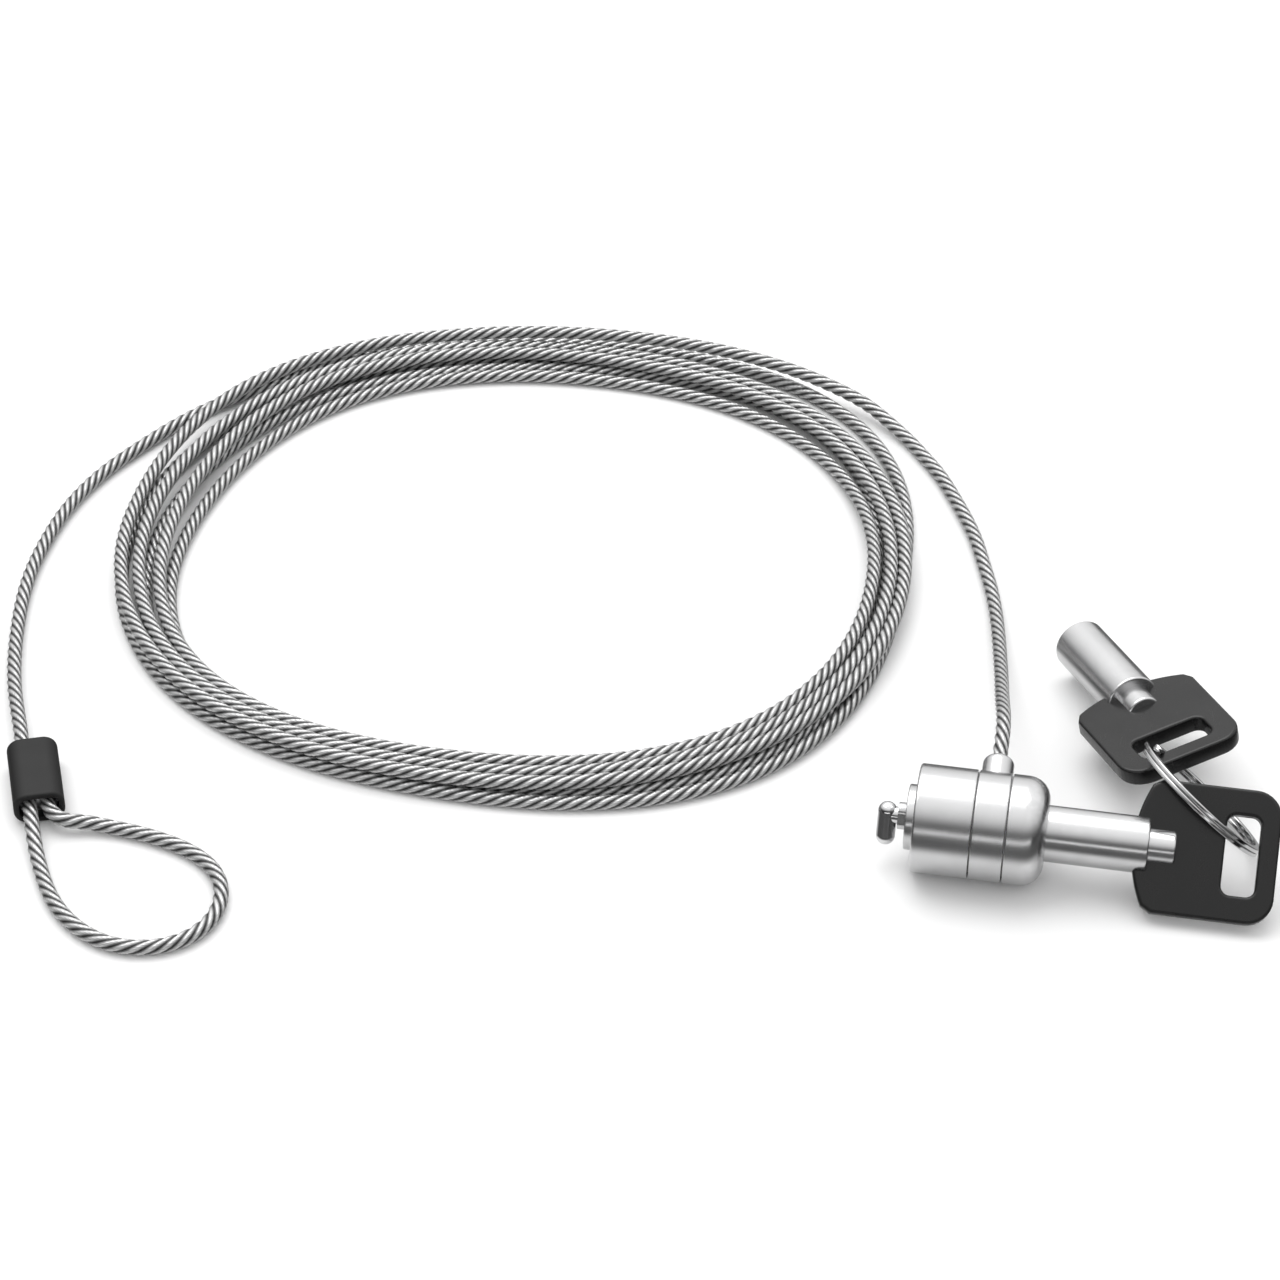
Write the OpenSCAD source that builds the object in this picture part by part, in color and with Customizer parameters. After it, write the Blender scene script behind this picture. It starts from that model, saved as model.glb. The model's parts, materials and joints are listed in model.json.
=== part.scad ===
// Laptop cable lock: T-bar lock head on a swivel collar, coiled wire rope with a
// crimped anchor loop, and two tubular keys on a split ring.
// X runs along the lock head from the T-bar to the key, Z is up, and the origin is
// the middle of the seating face that meets the computer's security slot.

/* [Lock body] */
// Diameter of the lock body
body_d = 16.5; // [16:0.1:18]
// X of the front of the nose housing
nose_x = 1.3; // [1:0.1:2]
// X of the seam between nose housing and swivel collar
seam_1_x = 10.0; // [9.5:0.1:10.5]
// X of the seam between swivel collar and rear housing
seam_2_x = 15.1; // [14.8:0.1:15.4]
// X of the back face of the rear housing
rear_x = 21.0; // [20.5:0.1:22]
// Diameter of the key hole in the back face
key_hole_d = 8.7; // [8.7:0.1:9.6]
// Rounding of the rear housing's back edge
rear_fillet = 2.9; // [1:0.1:3.5]

/* [Security slot end] */
// Diameter of the seating disc
disc_d = 9.9; // [9:0.1:11]
// Length of the T-bar
t_len = 6.8; // [6:0.1:6.8]
// Thickness of the T-bar
t_d = 2.9; // [2.5:0.1:2.9]
// Distance from the spindle's axis to the middle of the T-bar
t_offset = 1.4; // [0:0.1:1.6]
// Gap between the T-bar and the seating face
neck_len = 1.45; // [1.2:0.05:2]
// Roll of the T-bar away from upright
t_roll = 19.5; // [0:0.5:45]

/* [Keys] */
// Outer diameter of a key's tube
key_d = 8.5; // [8:0.1:8.6]
// Length of a key's tube
key_tube_len = 19.0; // [18:0.1:22]
// Diameter of the shank behind the tube
shank_d = 5.6; // [5:0.1:6]
// Length of the shank behind the tube
shank_len = 4.0; // [3:0.1:5]
// Half the width of the bow
bow_half_w = 10.0; // [9:0.1:11]
// Thickness of the bow
bow_t = 2.8; // [2.4:0.1:3.2]
// Lean of the first key's bow from upright
bow_lean = 46; // [0:1:60]

/* [Split ring] */
// Mean diameter of the split ring
ring_d = 23.6; // [23:0.1:24]
// Width of the ring's wire, from inside to outside
ring_wire_w = 1.3; // [1:0.1:1.6]
// Height of the ring's two turns together
ring_stack = 1.4; // [1:0.1:1.8]

/* [Cable] */
// Diameter of the wire rope
cable_d = 2.4; // [2:0.1:3]
// Middle radius of the coil
coil_r = 61; // [58:0.5:62]
// Width of the bundle of turns
coil_w = 14; // [12:0.2:15]
// Height of the bundle of turns
coil_h = 5.4; // [4.8:0.1:8]

/* [Hidden] */
$fn = 64;

body_r = body_d / 2;
floor_z = -body_r;
seam_gap = 0.1;
edge = 0.25;
run = 0.05;

// Inner mechanism, along X
shell_r = 6.2;
core_r = 4.4;
shell_x0 = 4.3;
shell_x1 = 19.8;
stator_x0 = 5.6;
stator_x1 = 10.4;
drum_x0 = 10.5;
drum_x1 = 17;
drum_r = core_r - run;
post_r = 3.0;
post_x1 = 20.2;
spindle_r = 1.3;
spindle_x1 = 13.0;
pin_r = 0.5;
pin_circle_r = 3.5;
pin_count = 7;
pin_step = 360 / (pin_count + 1);
chamber_r = pin_r + run;
driver_len = 2.0;
// Depth of each cut in a key's tip, and its radius: it leaves a thin skin outside
cuts = [0.5, 1.1, 0.8, 1.5, 0.3, 1.3, 0.9];
cut_r = pin_r + 0.05;
groove_x = 16;
groove_w = 1.4;
groove_r = 4.22;
dowel_r = 0.6;
dowel_turn = 22.5;
nose_dowel_x = 7;
guide_len = 4.1;
disc_hub_r = 3.6;
disc_hub_x1 = 4.2;
washer_r = 7.2;
washer_t = 0.4;

// Keys: the first is seated in the lock, the second hangs on the ring
key_tip_x = drum_x1 + 0.1;
key_bore_r = post_r + run;
key_bore_len = 8;
bow_x0 = key_tube_len - 2.4;
bow_x1 = bow_x0 + 21.4;
bow_side_r = 20.5;
bow_corner_r = 4.0;
slot_x0 = bow_x0 + 13.5;
slot_x1 = slot_x0 + 5;
slot_half_w = 6.0;
slot_corner_r = 1.4;
key_2_at = [22.5, 51.6, -2.8];
key_2_yaw = -60.6;
key_2_rise = 7.1;
key_2_roll = -79;

// Split ring: its middle, then the tilt and the turn of its axis
ring_at = [43.25, 11.1, 1.2];
ring_tilt = 46.2;
ring_turn = 32.8;

// Ferrule that joins the cable to the collar
collar_x = (seam_1_x + seam_2_x) / 2;
ferrule_rise = 12;
ferrule_r = 2.4;
ferrule_dome = 1.3;
ferrule_end = 12.9;
spigot_r = 1.7;
spigot_in = 6.5;
cable_r = cable_d / 2;
lay_z = floor_z + cable_r;

// Coil
coil_at = [-71.5, 65.5];
coil_round = 1.8;

// Crimp sleeve
sleeve_at = [-135.7, -3];
sleeve_len = 14.4;
sleeve_turn = -67.8;
sleeve_w = 7.8;
sleeve_h = 5.4;
sleeve_round = 2.2;
lane = 1.45;
lane_z = floor_z + sleeve_h / 2;
core_w = 6.2;
core_h = 3.6;
core_round = 1.7;
core_inset = 2;

// Route from the ferrule to the coil
ferrule_dir = [0, cos(ferrule_rise), sin(ferrule_rise)];
lead_route = [
    [collar_x, 0, 0] + ferrule_end * ferrule_dir,
    [collar_x, 0, 0] + (ferrule_end + 3.5) * ferrule_dir,
    [12.3, 22, 3.3], [11.7, 28.5, 1.4], [10.9, 38, -1.6], [10, 47.5, -4.1],
    [9, 56.5, -5.9], [7.8, 64.5, -6.8], [6.4, 71, lay_z], [4.6, 77.5, lay_z],
    [2.7, 84, lay_z], [0.4, 90, lay_z], [-2.3, 96, lay_z], [-5.3, 102, lay_z],
    [-8.5, 107, lay_z], [-12, 111.8, -6.9], [-15.6, 115.5, -6.4], [-19.3, 118.7, -5.7],
    [-25, 121.8, -4.8], [-34, 125, -3.7], [-44, 127, -2.8], [-55.5, 128.1, -2.3]
];
// Route from the coil to the crimp sleeve
tail_route = [
    [-124, 110, lay_z], [-131, 103, lay_z], [-136.5, 96.5, lay_z], [-140.5, 90.2, lay_z],
    [-144, 83.5, lay_z], [-147.2, 76.5, lay_z], [-149.6, 69, lay_z], [-150.9, 62, lay_z],
    [-151.4, 54, lay_z], [-151.3, 46, lay_z], [-150.4, 38, lay_z], [-148.8, 30, lay_z],
    [-146.6, 21.5, -6.8], [-144, 13.5, -6.4], [-141.2, 6.5, -5.9], [-138.6, 0.4, -5.6],
    [-137.04, -3.55, lane_z]
];
// Route of the anchor loop, from the sleeve's outer lane round to its inner lane
loop_route = [
    [-131.6, -16.9, -5.55], [-130.4, -19.8, -5.8], [-128.2, -24.8, -6.7],
    [-125.6, -29.8, -7.05], [-122.6, -34.5, -7.05], [-118.8, -38.5, -7.05],
    [-114.8, -41.1, -7.05], [-110.9, -42.3, -7.05], [-107, -42.2, -7.05],
    [-103.2, -40.8, -7.05], [-100.3, -38.2, -7.05], [-98.6, -34.8, -7.05],
    [-98.2, -30.8, -7.05], [-99.2, -26.6, -7.05], [-101.6, -23, -7.05],
    [-105.4, -20.2, -7.05], [-110, -18.4, -7.05], [-115, -17.3, -7.05],
    [-119.6, -16.9, -6.9], [-123.4, -17.2, -6.4], [-126.6, -17.6, -5.9],
    [-128.7, -16.2, -5.55]
];

module along_x() {
    rotate([0, 90, 0]) children();
}

module rod(r, x0, x1) {
    translate([x0, 0, 0]) along_x() cylinder(r = r, h = x1 - x0);
}

module pipe(r_out, r_in, x0, x1) {
    difference() {
        rod(r_out, x0, x1);
        rod(r_in, x0 - 1, x1 + 1);
    }
}

// Solid with both outer edges chamfered
module chamfered(r, x0, x1, c) {
    translate([x0, 0, 0]) along_x() rotate_extrude()
        polygon([[0, 0], [r - c, 0], [r, c], [r, x1 - x0 - c], [r - c, x1 - x0], [0, x1 - x0]]);
}

function unit(v) = v / norm(v);
function heading(p, i) = unit(p[min(i + 1, len(p) - 1)] - p[max(i - 1, 0)]);
function ring_points(p, i, r, sides) =
    let (t = heading(p, i), s = unit(cross(t, [0, 0, 1])), u = cross(s, t))
    [for (k = [0:sides - 1]) p[i] + r * (cos(360 * k / sides) * s + sin(360 * k / sides) * u)];

// Tube swept along a route, eight sides round
module swept(p, r, sides = 8) {
    n = len(p);
    points = [for (i = [0:n - 1]) for (q = ring_points(p, i, r, sides)) q];
    walls = [for (i = [0:n - 2]) for (k = [0:sides - 1])
        let (a = i * sides + k, b = i * sides + (k + 1) % sides) [a, b, b + sides, a + sides]];
    first = [[for (k = [sides - 1:-1:0]) k]];
    last = [[for (k = [0:sides - 1]) (n - 1) * sides + k]];
    polyhedron(points = points, faces = concat(walls, first, last), convexity = 6);
}

// Slot-shaped guide: the outline of the T-bar
module t_outline(w, len) {
    square([w, len - w], center = true);
    translate([0, (len - w) / 2]) circle(d = w);
    translate([0, -(len - w) / 2]) circle(d = w);
}

// Radial cylinder under the body, from one radius in to another
module dowel(x, r_from, r_to) {
    rotate([dowel_turn, 0, 0]) translate([x, 0, -r_from]) cylinder(r = dowel_r, h = r_from - r_to);
}

module nose_housing() {
    color("silver") difference() {
        chamfered(body_r, nose_x, seam_1_x, edge);
        rod(disc_hub_r, nose_x - 1, disc_hub_x1 + 1);
        rod(shell_r, disc_hub_x1, seam_1_x + 1);
        dowel(nose_dowel_x, body_r + 1, shell_r - 1);
    }
}

// Seating disc, its hub and the two fixed guides beside the spindle
module guide_disc() {
    color("silver") difference() {
        union() {
            chamfered(disc_d / 2, 0, nose_x, 0.15);
            rod(disc_hub_r, nose_x - 0.1, disc_hub_x1);
            rotate([-t_roll, 0, 0]) translate([-neck_len + 0.15, 0, 0])
                along_x() linear_extrude(neck_len) t_outline(t_d - 0.15, guide_len);
        }
        rod(spindle_r + run, -neck_len - 1, disc_hub_x1 + 1);
        rotate([-t_roll, 0, 0]) translate([-neck_len - 1, 0, 0])
            rod(t_d / 2 + 0.05, 0, neck_len + 1);
    }
}

module swivel_collar() {
    x0 = seam_1_x + seam_gap;
    x1 = seam_2_x - seam_gap;
    color("silver") difference() {
        chamfered(body_r, x0, x1, edge);
        rod(shell_r + run, x0 - 1, x1 + 1);
        rod(washer_r + run, x0 - 1, x0 + washer_t);
        rod(washer_r + run, x1 - washer_t, x1 + 1);
        ferrule_place() cylinder(r = spigot_r, h = body_r + 1);
    }
}

module rear_housing() {
    len = rear_x - seam_2_x;
    color("silver") difference() {
        translate([seam_2_x, 0, 0]) along_x() rotate_extrude() {
            polygon([[0, 0], [body_r - edge, 0], [body_r, edge], [body_r, len - rear_fillet],
                [body_r - rear_fillet, len - rear_fillet], [body_r - rear_fillet, len], [0, len]]);
            intersection() {
                translate([body_r - rear_fillet, len - rear_fillet]) circle(r = rear_fillet);
                translate([body_r - rear_fillet, len - rear_fillet]) square(rear_fillet + 1);
            }
        }
        rod(shell_r, seam_2_x - 1, shell_x1);
        rod(key_hole_d / 2, shell_x1 - 1, rear_x + 1);
        dowel(groove_x, body_r + 1, shell_r - 1);
    }
}

// Bearing sleeve that carries the collar outside and the lock works inside
module lock_shell() {
    color("goldenrod") difference() {
        rod(shell_r, shell_x0, shell_x1);
        rod(core_r, shell_x0 - 1, shell_x1 + 1);
        dowel(nose_dowel_x, shell_r + 1, core_r - 1);
        dowel(groove_x, shell_r + 1, core_r - 1);
    }
}

module pin_places() {
    for (i = [1:pin_count]) rotate([i * pin_step, 0, 0])
        translate([0, 0, pin_circle_r]) children();
}

// Fixed rear half of the pin stack, with the blind chambers of the driver pins
module stator() {
    color("goldenrod") difference() {
        rod(core_r, stator_x0, stator_x1);
        rod(spindle_r + run, stator_x0 - 1, stator_x1 + 1);
        pin_places() rod(chamber_r, stator_x0 + 0.5, stator_x1 + 1);
        dowel(nose_dowel_x, core_r + 1, core_r - 0.6);
    }
}

// Turning half of the pin stack, with the post that a key slides over
module plug_drum() {
    color("goldenrod") difference() {
        union() {
            rod(drum_r, drum_x0, drum_x1);
            rod(post_r, drum_x1 - 0.1, post_x1);
        }
        rod(spindle_r, drum_x0 - 1, spindle_x1);
        pin_places() rod(chamber_r, drum_x0 - 1, drum_x1 + 1);
        pipe(drum_r + 1, groove_r, groove_x - groove_w / 2, groove_x + groove_w / 2);
        translate([drum_x1, -0.5, 2.2]) cube([8, 1, 2]);
        translate([11.8, -2.4, 0]) rotate([-90, 0, 0]) cylinder(r = 0.45, h = 4.8);
    }
}

// T-bar and its spindle, one turned piece
module t_spindle() {
    reach = t_len / 2 - t_d / 2;
    color("gainsboro") {
        difference() {
            union() {
                rod(spindle_r, -neck_len - t_d / 2, spindle_x1);
                rotate([-t_roll, 0, 0]) translate([-neck_len - t_d / 2, 0, -t_offset]) {
                    translate([0, 0, -reach]) cylinder(d = t_d, h = 2 * reach);
                    translate([0, 0, -reach]) sphere(d = t_d);
                    translate([0, 0, reach]) sphere(d = t_d);
                }
            }
            pipe(spindle_r + 1, spindle_r - 0.4, 4.9, 5.4);
            translate([11.8, -2.4, 0]) rotate([-90, 0, 0]) cylinder(r = 0.45, h = 4.8);
        }
    }
}

// Clip in the spindle's groove, open on one side
module spindle_clip() {
    color("dimgray") difference() {
        pipe(2.9, spindle_r - 0.4, 4.9, 5.4);
        translate([4, -0.8, -4]) cube([3, 1.6, 4]);
    }
}

module spindle_washer() {
    color("lightgray") pipe(3.2, spindle_r + run, 4.35, 4.8);
}

module drive_pin() {
    color("gray") translate([11.8, -2.3, 0]) rotate([-90, 0, 0]) cylinder(r = 0.45, h = 4.6);
}

module key_pins() {
    color("darkgoldenrod") for (i = [1:pin_count]) rotate([i * pin_step, 0, 0])
        translate([0, 0, pin_circle_r]) rod(pin_r, drum_x0 + 0.05, key_tip_x + cuts[i - 1] - 0.1);
}

module driver_pins() {
    color("darkgoldenrod") pin_places() rod(pin_r, stator_x1 - driver_len, stator_x1);
}

module pin_springs() {
    color("lightgray") pin_places() pipe(pin_r, pin_r - 0.2, stator_x0 + 0.5, stator_x1 - driver_len);
}

module collar_washers() {
    color("whitesmoke") {
        pipe(washer_r, shell_r, seam_1_x, seam_1_x + washer_t);
        pipe(washer_r, shell_r, seam_2_x - washer_t, seam_2_x);
    }
}

module nose_dowel() {
    color("gray") dowel(nose_dowel_x, body_r - 0.15, core_r - 0.55);
}

// Pin whose tip runs in the drum's groove and keeps the plug from pulling out
module retaining_pin() {
    color("gray") dowel(groove_x, body_r - 0.15, groove_r + run);
}

module ferrule_place() {
    translate([collar_x, 0, 0]) rotate([ferrule_rise - 90, 0, 0]) children();
}

// Domed ferrule, standing on the collar and fixed by its spigot
module cable_ferrule() {
    tip = ferrule_end;
    color("silver") difference() {
        ferrule_place() difference() {
            union() {
                difference() {
                    rotate_extrude() {
                        square([ferrule_r, tip - ferrule_dome]);
                        square([ferrule_r - ferrule_dome, tip]);
                        translate([ferrule_r - ferrule_dome, tip - ferrule_dome])
                            intersection() {
                                circle(r = ferrule_dome);
                                square(ferrule_dome + 1);
                            }
                    }
                    translate([-20, 0, 0]) along_x() cylinder(r = body_r, h = 40);
                }
                translate([0, 0, spigot_in]) cylinder(r = spigot_r, h = tip - spigot_in - 2);
            }
            translate([0, 0, spigot_in + 1]) cylinder(r = cable_r, h = 20);
        }
    }
}

module cable_end() {
    color("darkgray") ferrule_place() translate([0, 0, spigot_in + 1])
        cylinder(r = cable_r, h = ferrule_end - spigot_in - 1);
}

module cable_lead() {
    color("darkgray") swept(lead_route, cable_r);
}

// Outline of the bundle of turns: a rectangle with round corners
module coil_section() {
    w = coil_w - 2 * coil_round;
    h = coil_h - 2 * coil_round;
    translate([-w / 2, 0]) square([w, coil_h]);
    translate([-coil_w / 2, coil_round]) square([coil_w, h]);
    for (x = [-w / 2, w / 2]) for (y = [coil_round, coil_round + h])
        translate([x, y]) circle(r = coil_round);
}

module cable_coil() {
    color("darkgray") translate([coil_at.x, coil_at.y, floor_z])
        rotate_extrude($fn = 96) translate([coil_r, 0]) coil_section();
}

module cable_tail() {
    color("darkgray") swept(tail_route, cable_r);
}

module sleeve_place() {
    translate([sleeve_at.x, sleeve_at.y, lane_z]) rotate([0, 0, sleeve_turn]) children();
}

// Bar with an oblong section, along X
module oblong(w, h, r, x0, x1) {
    translate([x0, 0, 0]) along_x() linear_extrude(x1 - x0) {
        square([h, w - 2 * r], center = true);
        square([h - 2 * r, w], center = true);
        for (y = [-1, 1]) for (z = [-1, 1])
            translate([z * (h / 2 - r), y * (w / 2 - r)]) circle(r = r);
    }
}

module lanes(r, x0, x1) {
    for (y = [-lane, lane]) translate([0, y, 0]) rod(r, x0, x1);
}

module cable_in_sleeve() {
    color("darkgray") sleeve_place() lanes(cable_r, 0, sleeve_len);
}

module crimp_ferrule() {
    color("silver") sleeve_place() difference() {
        oblong(core_w, core_h, core_round, core_inset, sleeve_len - core_inset);
        lanes(cable_r, -1, sleeve_len + 1);
    }
}

module crimp_cover() {
    color("dimgray") sleeve_place() difference() {
        oblong(sleeve_w, sleeve_h, sleeve_round, 0, sleeve_len);
        oblong(core_w, core_h, core_round, core_inset, sleeve_len - core_inset);
        lanes(cable_r, -1, sleeve_len + 1);
    }
}

module cable_loop() {
    color("darkgray") swept(loop_route, cable_r);
}

module key_1_place() {
    translate([key_tip_x, 0, 0]) rotate([-bow_lean, 0, 0]) children();
}

module key_2_place() {
    translate(key_2_at) rotate([0, 0, key_2_yaw]) rotate([0, -key_2_rise, 0])
        rotate([key_2_roll, 0, 0]) children();
}

// Hollow tube with a cut in its tip for each pin and a lug inside that turns the post
module key_tube(turn) {
    rotate([turn, 0, 0]) {
        difference() {
            rod(key_d / 2, 0, key_tube_len);
            rod(key_bore_r, -1, key_bore_len);
            for (i = [1:pin_count]) rotate([i * pin_step, 0, 0])
                translate([0, 0, pin_circle_r]) rod(cut_r, -1, cuts[i - 1]);
        }
        translate([0.1, -0.4, 2.3]) cube([2, 0.8, key_bore_r - 2]);
    }
}

// Shank that stands on the bow, with a flat tang moulded into it
module key_shank() {
    rod(shank_d / 2, key_tube_len, key_tube_len + shank_len);
    translate([key_tube_len + 1, -0.6, -4]) cube([shank_len + 4, 1.2, 8]);
}

module bow_outline() {
    corner_z = bow_half_w - bow_corner_r;
    intersection() {
        union() {
            translate([bow_x0, -bow_half_w])
                square([bow_x1 - bow_corner_r - bow_x0, 2 * bow_half_w]);
            translate([bow_x0, -corner_z]) square([bow_x1 - bow_x0, 2 * corner_z]);
            for (z = [-corner_z, corner_z])
                translate([bow_x1 - bow_corner_r, z]) circle(r = bow_corner_r);
        }
        translate([bow_x0 + bow_side_r, 0]) circle(r = bow_side_r, $fn = 128);
    }
}

module slot_outline() {
    r = slot_corner_r;
    translate([slot_x0 + r, -slot_half_w]) square([slot_x1 - slot_x0 - 2 * r, 2 * slot_half_w]);
    translate([slot_x0, r - slot_half_w]) square([slot_x1 - slot_x0, 2 * (slot_half_w - r)]);
    for (x = [slot_x0 + r, slot_x1 - r])
        for (z = [r - slot_half_w, slot_half_w - r])
            translate([x, z]) circle(r = r);
}

module key_bow() {
    difference() {
        translate([0, bow_t / 2, 0]) rotate([90, 0, 0]) linear_extrude(bow_t) difference() {
            bow_outline();
            slot_outline();
        }
        rod(key_d / 2, 0, key_tube_len);
        key_shank();
    }
}

module key_1_tube() {
    color("silver") key_1_place() key_tube(bow_lean);
}

module key_1_shank() {
    color("gainsboro") key_1_place() key_shank();
}

module key_1_bow() {
    color([0.12, 0.12, 0.13]) key_1_place() key_bow();
}

module key_2_tube() {
    color("silver") key_2_place() key_tube(0);
}

module key_2_shank() {
    color("gainsboro") key_2_place() key_shank();
}

module key_2_bow() {
    color([0.12, 0.12, 0.13]) key_2_place() key_bow();
}

module split_ring() {
    color("gainsboro") translate(ring_at) rotate([0, 0, ring_turn]) rotate([0, ring_tilt, 0])
        rotate_extrude($fn = 96) translate([(ring_d - ring_wire_w) / 2, -ring_stack / 2])
            square([ring_wire_w, ring_stack]);
}

nose_housing();
guide_disc();
swivel_collar();
rear_housing();
lock_shell();
stator();
plug_drum();
t_spindle();
spindle_clip();
spindle_washer();
drive_pin();
key_pins();
driver_pins();
pin_springs();
collar_washers();
nose_dowel();
retaining_pin();
cable_ferrule();
cable_end();
cable_lead();
cable_coil();
cable_tail();
cable_in_sleeve();
cable_loop();
crimp_ferrule();
crimp_cover();
key_1_tube();
key_1_shank();
key_1_bow();
split_ring();
key_2_tube();
key_2_shank();
key_2_bow();
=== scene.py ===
# %% [markdown]
# # A laptop cable lock
# The real thing has a small nickel-plated lock head with a T-bar, a collar that
# swivels round it, nearly three metres of thin wire rope with a crimped loop at
# its far end, and two tubular keys on a split ring. The works inside, from the
# brass drum to the seven pins and their springs, are modelled too. The packed
# CAD model gives every size and place. Here each part gets the surface and the
# finish that it has in the hand.

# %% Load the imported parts
import json
import math

import bmesh
import bpy
import numpy as np
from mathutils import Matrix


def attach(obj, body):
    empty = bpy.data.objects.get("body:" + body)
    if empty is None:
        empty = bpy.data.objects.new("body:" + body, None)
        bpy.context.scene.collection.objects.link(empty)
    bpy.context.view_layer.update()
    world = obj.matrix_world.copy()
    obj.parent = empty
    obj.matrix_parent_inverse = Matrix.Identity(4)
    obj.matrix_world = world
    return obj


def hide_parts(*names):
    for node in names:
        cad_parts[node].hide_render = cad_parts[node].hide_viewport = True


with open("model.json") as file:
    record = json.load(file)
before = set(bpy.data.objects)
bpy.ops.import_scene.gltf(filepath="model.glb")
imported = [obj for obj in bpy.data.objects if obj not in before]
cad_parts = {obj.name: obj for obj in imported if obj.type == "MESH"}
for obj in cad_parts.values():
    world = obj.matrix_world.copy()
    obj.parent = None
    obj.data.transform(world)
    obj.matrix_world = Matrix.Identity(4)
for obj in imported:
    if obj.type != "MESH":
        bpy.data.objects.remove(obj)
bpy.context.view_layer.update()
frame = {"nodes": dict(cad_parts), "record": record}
MM = 0.001

# %% [markdown]
# ## The camera
# A product shot of such a lock is taken from above the front edge of the table
# with a long lens, so that near and far parts keep their sizes. The camera could
# be aimed with a Track To constraint, but writing its three axes down is exact:
# right, up and back are worked out from the azimuth, the elevation and a slight
# roll, and they become the columns of its matrix.

# %% Place the camera
def unit(v):
    """Arrows of length one: each divided by its own length."""
    return v / np.linalg.norm(v, axis=-1, keepdims=True)


def camera_axes(azimuth, elevation, roll):
    """Right, up and back as columns. Back leans up by the elevation, and roll turns right towards up."""
    a, e, t = np.radians([azimuth, elevation, roll])
    ahead = np.array([-math.sin(a), math.cos(a), 0])
    right = np.array([math.cos(a), math.sin(a), 0])
    z = np.array([0, 0, 1])
    up = ahead * math.sin(e) + z * math.cos(e)
    back = z * math.sin(e) - ahead * math.cos(e)
    rolled_right = right * math.cos(t) + up * math.sin(t)
    rolled_up = up * math.cos(t) - right * math.sin(t)
    return np.stack([rolled_right, rolled_up, back], 1)


camera_data = bpy.data.cameras.new("camera")
camera_data.lens = 98.44
camera_data.sensor_width = 36
camera_data.clip_start = 0.01
camera_data.clip_end = 20
camera = bpy.data.objects.new("camera", camera_data)
bpy.context.collection.objects.link(camera)
camera_matrix = np.eye(4)
camera_matrix[:3, :3] = camera_axes(azimuth=9.289, elevation=37, roll=1)
camera_matrix[:3, 3] = np.array([25.23, -404.65, 336.2]) * MM
camera.matrix_world = camera_matrix.T.tolist()
bpy.context.scene.camera = camera
print("camera stands at", [round(v, 3) for v in camera.location])

# %% [markdown]
# ## Surfaces from grids
# Nearly every new piece here is one grid of points bent into shape: one parameter
# runs along it and the other runs round it. Blender's own primitives would need
# many edits to reach the same forms. A grid is worked out as one numpy array and
# handed to the mesh whole. Points that land on the same spot, such as those at a
# pole, are merged afterwards, so that the skin is closed.

# %% Turn a grid of points into a mesh
def close_skin(mesh):
    """Merges points that lie on one spot, at poles and seams, and turns every face outwards."""
    skin = bmesh.new()
    skin.from_mesh(mesh)
    bmesh.ops.remove_doubles(skin, verts=skin.verts, dist=1e-7)
    bmesh.ops.recalc_face_normals(skin, faces=skin.faces)
    skin.to_mesh(mesh)
    skin.free()


def grid_piece(name, points, uv=None, edge=None, crown=None):
    """A mesh from points[i, j]: i runs along the piece, and j runs round it and closes on itself.
    uv holds one more column than points, so that the seam has its own value. edge and crown are
    one number per point, kept as attributes that materials read."""
    rows, cols = points.shape[:2]
    i, j = np.meshgrid(np.arange(rows - 1), np.arange(cols), indexing="ij")
    k = (j + 1) % cols
    here = i * cols
    next_row = here + cols
    faces = np.stack([here + j, here + k, next_row + k, next_row + j], -1).reshape(-1, 4)
    mesh = bpy.data.meshes.new(name)
    mesh.from_pydata(points.reshape(-1, 3) * MM, [], faces)
    mesh.shade_smooth()
    if uv is not None:
        corners = [uv[i, j], uv[i, j + 1], uv[i + 1, j + 1], uv[i + 1, j]]
        layer = mesh.uv_layers.new(name="surface")
        layer.uv.foreach_set("vector", np.stack(corners, -2).astype(np.float32).ravel())
    for label, values in (("edge", edge), ("crown", crown)):
        if values is not None:
            marks = np.broadcast_to(values, (rows, cols)).astype(np.float32)
            mesh.attributes.new(label, "FLOAT", "POINT").data.foreach_set("value", marks.ravel())
    piece = bpy.data.objects.new(name, mesh)
    bpy.context.collection.objects.link(piece)
    close_skin(mesh)
    return piece


# %% [markdown]
# ## The rope's route
# The rope leaves the ferrule on the collar, falls to the table, runs back and
# climbs onto the coil. Six turns lie in two layers, three on three. The rope then
# leaves the coil along the table, goes through the crimp sleeve, round the anchor
# loop and back into the sleeve. A curve object with a bevel could show a plain
# tube, but the strands of a rope need a mesh, so the route is worked out first,
# as points that a smooth curve goes through.

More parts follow.
